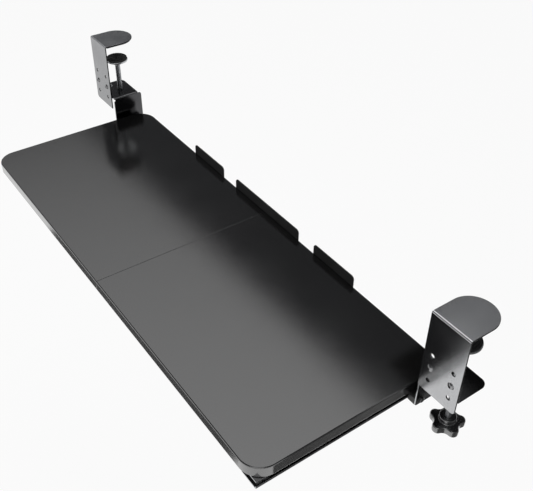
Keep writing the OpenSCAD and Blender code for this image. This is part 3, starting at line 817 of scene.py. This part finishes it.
def clamp_screw_tree():
    """Threaded rod that stands on its place, with a plain tip above."""
    tree, size = new_tree(
        "Clamp screw", "Radius", "Length", "Screw depth", "Screw pitch", "Tip radius", "Tip length"
    )
    crest, tip, shoulder = size["Radius"], size["Tip radius"], size["Length"]
    root, top, chamfer = crest - size["Screw depth"], shoulder + size["Tip length"], tip * 0.2
    helix = thread(tree, crest, root, size["Screw pitch"], 0.0, shoulder)
    foot = turned(tree, [(0.0, 0.0), (root, 0.0)])
    end = turned(
        tree, [(root, shoulder), (tip, shoulder), (tip, top - chamfer), (tip - chamfer, top), (0.0, top)]
    )
    return close_tree(tree, weld(tree, foot, helix, end))


def half_chord(radius, aside):
    """Half the chord of a circle at a distance aside from its centre, or 0 outside it."""
    return (radius * radius - aside * aside).math("MAXIMUM", 0.0).math("SQRT")


def star_radius(size, turn, inset):
    """Distance of the star's outline from its axis: lobes and scallops that run into each other."""
    step = size["Knob lobes"].math("POWER", -1.0) * math.pi
    angle = (turn * math.tau).math("PINGPONG", step)
    lobe, scallop = size["Lobe radius"], size["Scallop at"]
    reach = size["Knob radius"] - lobe
    gap = (reach * reach + scallop * scallop - reach * scallop * step.math("COSINE") * 2.0).math("SQRT")
    across = scallop * step.math("COSINE") - reach
    up = scallop * step.math("SINE")
    meet = (up * lobe / gap).math("ARCTAN2", reach + across * lobe / gap)
    far = reach * angle.math("COSINE") + half_chord(lobe - inset, reach * angle.math("SINE"))
    rest = step - angle
    near = scallop * rest.math("COSINE") - half_chord(gap - lobe + inset, scallop * rest.math("SINE"))
    in_scallop = angle.math("GREATER_THAN", meet)
    return far + in_scallop * (near - far)


# Steps round a knob's rounded rim, and points round its star
RIM_STEPS = 4
STAR_POINTS = 160


def star_knob_tree():
    """Star knob that stands on its place: a star of lobes with rounded rims, and a hub above it."""
    tree, size = new_tree(
        "Star knob", "Height", "Bore", "Floor", "Turn", "Knob radius", "Knob lobes", "Lobe radius",
        "Scallop at", "Knob round", "Hub radius", "Hub height",
    )
    rim, tall, hub = size["Knob round"], size["Height"], size["Hub radius"]
    soft, hollow, top = rim * 0.6, tall * 0.07, tall + size["Hub height"]
    quarter = [math.pi / 2 * step / RIM_STEPS for step in range(RIM_STEPS + 1)]
    # Each row: whether it follows the star, its inset or its radius, and its height
    rows = [(0.0, 0.0, hollow), (0.0, hub * 0.62, hollow), (0.0, hub * 0.7, 0.0)]
    rows += [(1.0, rim * (1 - math.sin(a)), rim * (1 - math.cos(a))) for a in quarter]
    rows += [(1.0, rim * (1 - math.cos(a)), tall - rim * (1 - math.sin(a))) for a in quarter]
    rows += [(0.0, hub + soft * (1 - math.sin(a)), tall + soft * (1 - math.cos(a))) for a in quarter]
    rows += [(0.0, hub - soft * (1 - math.cos(a)), top - soft * (1 - math.sin(a))) for a in quarter]
    rows += [(0.0, size["Bore"], top), (0.0, size["Bore"], size["Floor"]), (0.0, 0.0, size["Floor"])]
    grid, turn, row = wrapped_grid(tree, STAR_POINTS, len(rows))
    starry = pick(tree, row, [star for star, _, _ in rows])
    value = pick(tree, row, [value for _, value, _ in rows])
    height = pick(tree, row, [height for _, _, height in rows])
    star = star_radius(size, turn, value)
    shape = wrap(tree, grid, turn + size["Turn"] / math.tau, value + starry * (star - value), height)
    return close_tree(tree, shape)


def pad_tree():
    """Pressure pad that stands on its place: a socket below and a disc above."""
    tree, size = new_tree(
        "Pressure pad", "Radius", "Height", "Socket radius", "Socket height", "Pad bore", "Pad bore depth"
    )
    wide, neck, step, top = size["Radius"], size["Socket radius"], size["Socket height"], size["Height"]
    bore, depth = size["Pad bore"], size["Pad bore depth"]
    # Size of the rounded edges, and how far the middle of one stands in from the corner
    soft = (top - step) * 0.22
    bend = soft * 0.3
    socket = [
        (0.0, depth), (bore, depth), (bore, 0.0), (neck - soft, 0.0), (neck, soft), (neck, step - soft)
    ]
    disc = [
        (neck + soft, step), (wide - soft, step), (wide - bend, step + bend), (wide, step + soft),
        (wide, top - soft), (wide - bend, top - bend), (wide - soft, top), (0.0, top),
    ]
    return close_tree(tree, turned(tree, socket + disc, segments=64))


# Points along a ribbed disc's outline, from its foot over its rim to its middle
DISC_ROWS = 49


def ribbed_disc_tree():
    """Rubber disc that stands on its place, with ring-shaped grooves in its upper face."""
    tree, size = new_tree("Ribbed disc", "Radius", "Height", "Rib depth", "Rib step")
    radius, tall, groove = size["Radius"], size["Height"], size["Rib depth"]
    grid, turn, row = wrapped_grid(tree, segments=72, rows=DISC_ROWS)
    # Row 0 is the foot's middle, row 1 its rim and row 2 the upper rim. The rest go in to the middle.
    share = 1.0 - (row - 3.0) / (DISC_ROWS - 4.0)
    spread = radius * share.math("MINIMUM", 1.0)
    wave = ((spread / size["Rib step"]).math("PINGPONG", 0.5) * 2.0).within(0.55, 0.8)
    inside = (radius - spread).within(groove * 0.6, groove * 1.4)
    upper = tall - groove * (1.0 - wave) * inside
    lower = row.math("LESS_THAN", 1.5)
    wide = row.math("GREATER_THAN", 0.5)
    return close_tree(tree, wrap(tree, grid, turn, spread * wide, upper * (1.0 - lower)))


def middle(box):
    """Middle of a box's foot."""
    low, high = box
    return Vector(((low.x + high.x) / 2, (low.y + high.y) / 2, low.z))


def front_middle(box):
    """Middle of a box's front."""
    low, high = box
    return Vector(((low.x + high.x) / 2, low.y, (low.z + high.z) / 2))


def span(box):
    """Lengths of a box along the axes."""
    low, high = box
    return high - low


class TrayOperator:
    """What the operators share."""

    bl_options = {"REGISTER", "UNDO"}


class TRAY_OT_boards(TrayOperator, bpy.types.Operator):
    """Dress the two boards and the dowels in their seam"""

    bl_idname = "tray.boards"
    bl_label = "Boards"

    def execute(self, context):
        sizes = context.scene.tray_sizes
        for side in SIDES:
            node = f"tray_board_{side}"
            board = dress(node, "board_laminate", sizes.board_round, 2)
            self.close_seam(board, *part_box(node))
        dress("seam_dowels", "beech", sizes.moulded_round, 2)
        return {"FINISHED"}

    def close_seam(self, board, low, high):
        """Slants a board's face at the seam, so that the boards meet below and no light comes up."""
        gap = min(abs(low.x), abs(high.x)) + WELD
        face = [vert for vert in board.data.vertices if abs(vert.co.x) < gap]
        bottom = min(vert.co.z for vert in face)
        top = max(vert.co.z for vert in face)
        for vert in face:
            vert.co.x *= (vert.co.z - bottom) / (top - bottom)


class TRAY_OT_sheet_metal(TrayOperator, bpy.types.Operator):
    """Dress the clamp plates, side brackets, rails, rear stops and joining bars"""

    bl_idname = "tray.sheet_metal"
    bl_label = "Sheet metal"

    def execute(self, context):
        sizes = context.scene.tray_sizes
        for side in SIDES:
            dress(f"clamp_plate_{side}", "graphite_paint", sizes.sheet_round)
            dress(f"side_bracket_{side}", "black_paint", sizes.sheet_round, look="bracket_paint")
            dress(f"rail_{side}", "black_paint", sizes.rail_round, look="rail_paint")
        for place in ("left", "centre", "right"):
            dress(f"rear_stop_{place}", "black_paint", sizes.sheet_round, look="stop_paint")
        for end in ENDS:
            dress(f"{end}_joining_bar", "zinc_steel", sizes.sheet_round)
        return {"FINISHED"}


class TRAY_OT_moulded(TrayOperator, bpy.types.Operator):
    """Dress the guide blocks, stop plugs, liners, rollers and axles"""

    bl_idname = "tray.moulded"
    bl_label = "Moulded pieces"

    def execute(self, context):
        sizes = context.scene.tray_sizes
        for side in SIDES:
            dress(f"guide_block_{side}", "black_nylon", sizes.moulded_round)
            dress(f"tongue_liner_{side}", "black_rubber", sizes.liner_round, 2)
            dress(f"roller_axles_{side}", "blackened_steel", sizes.axle_round)
            for end in ENDS:
                dress(f"rail_{end}_stop_{side}", "black_rubber", sizes.moulded_round)
                dress(f"{end}_roller_{side}", "white_nylon", sizes.moulded_round)
        return {"FINISHED"}


class TRAY_OT_wood_screws(TrayOperator, bpy.types.Operator):
    """Make the wood screws that hold the rails, the joining bars and the rear stops"""

    bl_idname = "tray.wood_screws"
    bl_label = "Wood screws"

    def execute(self, context):
        sizes = context.scene.tray_sizes
        tree = wood_screw_tree()
        for node in ("rail_screws_left", "rail_screws_right", "joining_screws", "stop_screws"):
            boxes = solid_boxes(node)
            screw = span(boxes[0])
            measures = {"Head radius": screw.x / 2, "Shank length": screw.z - sizes.wood_head}
            shoulder = Vector((0, 0, sizes.wood_head))
            grow(node, tree, "zinc_steel", measures, [middle(box) + shoulder for box in boxes])
        return {"FINISHED"}


class TRAY_OT_bolts(TrayOperator, bpy.types.Operator):
    """Make the bracket bolts, their nuts and the welded screw nuts"""

    bl_idname = "tray.bolts"
    bl_label = "Bolts and nuts"

    def execute(self, context):
        sizes = context.scene.tray_sizes
        bolts = bolt_tree()
        nuts = nut_tree("Bracket nut", (-math.pi / 2, 0.0, 0.0))
        welded = nut_tree("Screw nut", (0.0, 0.0, 0.0))
        shoulder = Vector((0, sizes.bolt_head, 0))
        for side in SIDES:
            boxes = solid_boxes(f"bracket_bolts_{side}")
            bolt = span(boxes[0])
            measures = {"Head radius": bolt.x / 2, "Shank length": bolt.y - sizes.bolt_head}
            places = [front_middle(box) + shoulder for box in boxes]
            grow(f"bracket_bolts_{side}", bolts, "blackened_steel", measures, places)
            boxes = solid_boxes(f"bracket_nuts_{side}")
            nut = span(boxes[0])
            measures = {"Flats": min(nut.x, nut.z), "Height": nut.y, "Bore": sizes.bolt_bore}
            places = [front_middle(box) for box in boxes]
            grow(f"bracket_nuts_{side}", nuts, "zinc_steel", measures, places)
            nut = span(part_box(f"screw_nut_{side}"))
            measures = {"Flats": min(nut.x, nut.y), "Height": nut.z, "Bore": sizes.screw_bore}
            grow(f"screw_nut_{side}", welded, "zinc_steel", measures)
        return {"FINISHED"}


class TRAY_OT_clamp_screws(TrayOperator, bpy.types.Operator):
    """Make the threaded clamp screws"""

    bl_idname = "tray.clamp_screws"
    bl_label = "Clamp screws"

    def execute(self, context):
        sizes = context.scene.tray_sizes
        tree = clamp_screw_tree()
        for side in SIDES:
            screw = span(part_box(f"clamp_screw_{side}"))
            measures = {"Radius": screw.x / 2, "Length": screw.z - sizes.tip_length}
            grow(f"clamp_screw_{side}", tree, "zinc_steel", measures)
        return {"FINISHED"}


class TRAY_OT_star_knobs(TrayOperator, bpy.types.Operator):
    """Make the star knobs"""

    bl_idname = "tray.star_knobs"
    bl_label = "Star knobs"

    def execute(self, context):
        sizes = context.scene.tray_sizes
        tree = star_knob_tree()
        for side in SIDES:
            low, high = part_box(f"star_knob_{side}")
            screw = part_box(f"clamp_screw_{side}")
            foot = middle(screw)
            measures = {
                "Height": high.z - low.z - sizes.hub_height,
                "Bore": span(screw).x / 2,
                "Floor": foot.z - low.z,
                "Turn": sizes.knob_turn if side == "right" else math.pi - sizes.knob_turn,
            }
            places = [Vector((foot.x, foot.y, low.z))]
            grow(f"star_knob_{side}", tree, "knob_plastic", measures, places)
        return {"FINISHED"}


class TRAY_OT_pads(TrayOperator, bpy.types.Operator):
    """Make the pressure pads and their ribbed rubber faces"""

    bl_idname = "tray.pads"
    bl_label = "Pressure pads"

    def execute(self, context):
        discs = (
            ("pressure_pad", pad_tree(), "zinc_steel"),
            ("pad_face", ribbed_disc_tree(), "black_rubber"),
        )
        for side in SIDES:
            for name, tree, slot in discs:
                disc = span(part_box(f"{name}_{side}"))
                grow(f"{name}_{side}", tree, slot, {"Radius": disc.x / 2, "Height": disc.z})
        return {"FINISHED"}


def seen_directly(tree):
    """1 for rays from the camera, off a mirror or through glass, and 0 for the rest."""
    path = add(tree, "ShaderNodeLightPath")
    camera, glossy, through = (
        Num(tree, path.outputs[name])
        for name in ("Is Camera Ray", "Is Glossy Ray", "Is Transmission Ray")
    )
    return camera.math("MAXIMUM", glossy).math("MAXIMUM", through)


# Share of the floor's look that is plain white, beside the share that shows shadows
FLOOR_WHITE = 0.94


def floor_finish(rgb):
    """Pale floor that looks white and keeps a soft shadow, and lets the view from below through."""
    material = bpy.data.materials.new("Floor")
    material.use_nodes = True
    tree = material.node_tree
    tree.nodes.clear()
    cloth = add(tree, "ShaderNodeBsdfDiffuse", {"Color": rgba(rgb)})
    white = add(tree, "ShaderNodeEmission", {"Strength": 1.0})
    share = seen_directly(tree) * FLOOR_WHITE
    pale = add(tree, "ShaderNodeMixShader", {0: share, 1: cloth.outputs[0], 2: white.outputs[0]})
    below = add(tree, "ShaderNodeNewGeometry").outputs["Backfacing"]
    clear = add(tree, "ShaderNodeBsdfTransparent")
    both = add(tree, "ShaderNodeMixShader", {0: below, 1: pale.outputs[0], 2: clear.outputs[0]})
    add(tree, "ShaderNodeOutputMaterial", {"Surface": both.outputs[0]})
    return material


# Height of a direction at which the surroundings begin to grey, and where they are grey
HORIZON_BAND = (0.06, 0.28)


def light_surroundings(scene, stage):
    """World that is bright at the horizon and greyer overhead."""
    world = bpy.data.worlds.new("Surroundings")
    world.use_nodes = True
    tree = world.node_tree
    _, _, height = split(tree, add(tree, "ShaderNodeTexCoord").outputs["Generated"])
    share = height.within(*HORIZON_BAND)
    light = mix_colour(tree, share, rgba(stage.horizon), rgba(stage.overhead))
    feed(tree, tree.nodes["Background"].inputs["Color"], light)
    scene.world = world


def rectangle(name, corners):
    """Flat piece of the stage between four corners."""
    mesh = bpy.data.meshes.new(name)
    mesh.from_pydata(corners, [], [(0, 1, 2, 3)])
    return new_object(name, mesh)


def soft_box(name, place, aim, width, depth, brightness, spread=math.pi, turn=0.0):
    """Soft box that faces a point. Its brightness is 1 for white."""
    lamp = bpy.data.lights.new(name, "AREA")
    lamp.shape = "RECTANGLE"
    lamp.size, lamp.size_y = width, depth
    lamp.energy = brightness * math.pi * width * depth
    lamp.spread = spread
    obj = bpy.data.objects.new(name, lamp)
    obj.location = place
    facing_aim = (Vector(aim) - Vector(place)).to_track_quat("-Z", "Y")
    obj.rotation_euler = (facing_aim @ Quaternion((0, 0, 1), turn)).to_euler()
    obj.visible_camera = False
    bpy.context.scene.collection.objects.link(obj)


# Soft boxes, in metres: place, point that it faces, width and depth
STRIP_BOX = ((-0.7, 0.095, 0.6), (-0.7, 0.095, 0.0), 1.8, 0.60)
FILL_BOX = ((1.3, -1.2, 1.5), (0.1, -0.05, -0.1), 1.5, 1.5)
BACK_BOX = ((0.05, 0.72, 0.75), (0.377, 0.03, 0.0), 0.40, 0.30)
# Glowing cards that only reflections see: painted reflections, and painted shade where they are dark. In
# metres: ends along X, Y and Z, and the settings for the brightness in front and at the rear
CARDS = {
    "low card": ((0.5, 0.5), (-0.10, 0.33), (-0.62, -0.43), "dark_card", "dark_card"),
    "rear card": ((0.5, 0.5), (0.16, 0.33), (-0.43, 0.0), "dark_card", "dark_card"),
    "right card": ((0.5, 0.5), (-0.10, 0.16), (-0.43, 0.0), "dark_card", "right_card"),
    "left card": ((-0.6, -0.6), (-0.18, 0.0), (-0.33, -0.01), "left_card", "left_card"),
    "front card": ((-0.82, -0.01), (-0.56, -0.28), (-0.65, -0.65), "dark_card", "dark_card"),
    "upper card": ((0.25, 0.50), (0.06, 0.24), (-0.03, -0.03), "upper_card", "upper_card"),
}
# Width of the camera's sensor, in millimetres
SENSOR = 36.0


class TRAY_OT_stage(TrayOperator, bpy.types.Operator):
    """Set the camera, the floor and the light"""

    bl_idname = "tray.stage"
    bl_label = "Stage"

    def execute(self, context):
        scene, stage = context.scene, context.scene.tray_stage
        scene.view_settings.view_transform = "Standard"
        self.add_camera(scene, stage)
        half = stage.floor_size / 2
        corners = [(-half, -half), (half, -half), (half, half), (-half, half)]
        floor = rectangle("floor", [(x, y, -stage.floor_drop) for x, y in corners])
        floor.data.materials.append(floor_finish(stage.floor_colour))
        light_surroundings(scene, stage)
        soft_box("strip box", *STRIP_BOX, stage.strip_light, stage.strip_spread, stage.strip_turn)
        soft_box("fill box", *FILL_BOX, stage.fill_light)
        soft_box("back box", *BACK_BOX, stage.back_light)
        for name, (*ends, front, rear) in CARDS.items():
            self.add_card(name, *ends, getattr(stage, front), getattr(stage, rear))
        return {"FINISHED"}

    def add_card(self, name, xs, ys, zs, front, rear):
        """Glowing card that only the tray's reflections see, a painted reflection, upright or level,
        graded from front to rear.
        """
        (x0, z0), (x1, z1) = zip(xs, zs)
        card = rectangle(name, [(x0, ys[0], z0), (x0, ys[1], z0), (x1, ys[1], z1), (x1, ys[0], z1)])
        black = rgba((0.0, 0.0, 0.0))
        material, tree, shader = new_finish(
            name, {"Base Color": black, "Specular IOR Level": 0.0, "Emission Strength": 1.0}
        )
        _, y, _ = split(tree, add(tree, "ShaderNodeTexCoord").outputs["Object"])
        share = (y - ys[0]) / (ys[1] - ys[0])
        light = mix_colour(tree, share, rgba((front,) * 3), rgba((rear,) * 3))
        feed(tree, shader.inputs["Emission Color"], light)
        card.data.materials.append(material)
        card.visible_camera = card.visible_diffuse = card.visible_shadow = False

    def add_camera(self, scene, stage):
        """Camera that looks at its target from an azimuth and an elevation, a little rolled."""
        turn, lift, roll = stage.azimuth, stage.elevation, stage.roll
        right = Vector((math.cos(turn), math.sin(turn), 0))
        back = Vector(
            (math.sin(turn) * math.cos(lift), -math.cos(turn) * math.cos(lift), math.sin(lift))
        )
        up = back.cross(right)
        level = Matrix((right, up, back)).transposed()
        rolled = level @ Matrix.Rotation(roll, 3, "Z")
        data = bpy.data.cameras.new("camera")
        data.lens = stage.lens
        data.sensor_width = SENSOR
        data.sensor_fit = "HORIZONTAL"
        camera = bpy.data.objects.new("camera", data)
        place = Vector(stage.target) + back * stage.distance
        camera.matrix_world = Matrix.Translation(place) @ rolled.to_4x4()
        scene.collection.objects.link(camera)
        scene.camera = camera


OPERATORS = (
    TRAY_OT_stage,
    TRAY_OT_boards,
    TRAY_OT_sheet_metal,
    TRAY_OT_moulded,
    TRAY_OT_wood_screws,
    TRAY_OT_bolts,
    TRAY_OT_clamp_screws,
    TRAY_OT_star_knobs,
    TRAY_OT_pads,
)


class TRAY_PT_panel(bpy.types.Panel):
    """Panel that lists the tray's pieces, sizes and colours"""

    bl_idname = "TRAY_PT_panel"
    bl_label = "Keyboard tray"
    bl_space_type = "VIEW_3D"
    bl_region_type = "UI"
    bl_category = "Keyboard tray"

    def draw(self, context):
        column = self.layout.column()
        for operator in OPERATORS:
            column.operator(operator.bl_idname)
        for group in (context.scene.tray_sizes, context.scene.tray_colours, context.scene.tray_stage):
            box = self.layout.box()
            for name in group.__annotations__:
                box.prop(group, name)


SETTINGS = {"tray_sizes": TraySizes, "tray_colours": TrayColours, "tray_stage": TrayStage}
CLASSES = (*SETTINGS.values(), *OPERATORS, TRAY_PT_panel)


def register():
    for cls in CLASSES:
        bpy.utils.register_class(cls)
    for name, group in SETTINGS.items():
        setattr(bpy.types.Scene, name, PointerProperty(type=group))


def unregister():
    for name in SETTINGS:
        delattr(bpy.types.Scene, name)
    for cls in reversed(CLASSES):
        bpy.utils.unregister_class(cls)


def main():
    register()
    for operator in OPERATORS:
        group, name = operator.bl_idname.split(".")
        getattr(getattr(bpy.ops, group), name)()


if __name__ == "__main__":
    main()
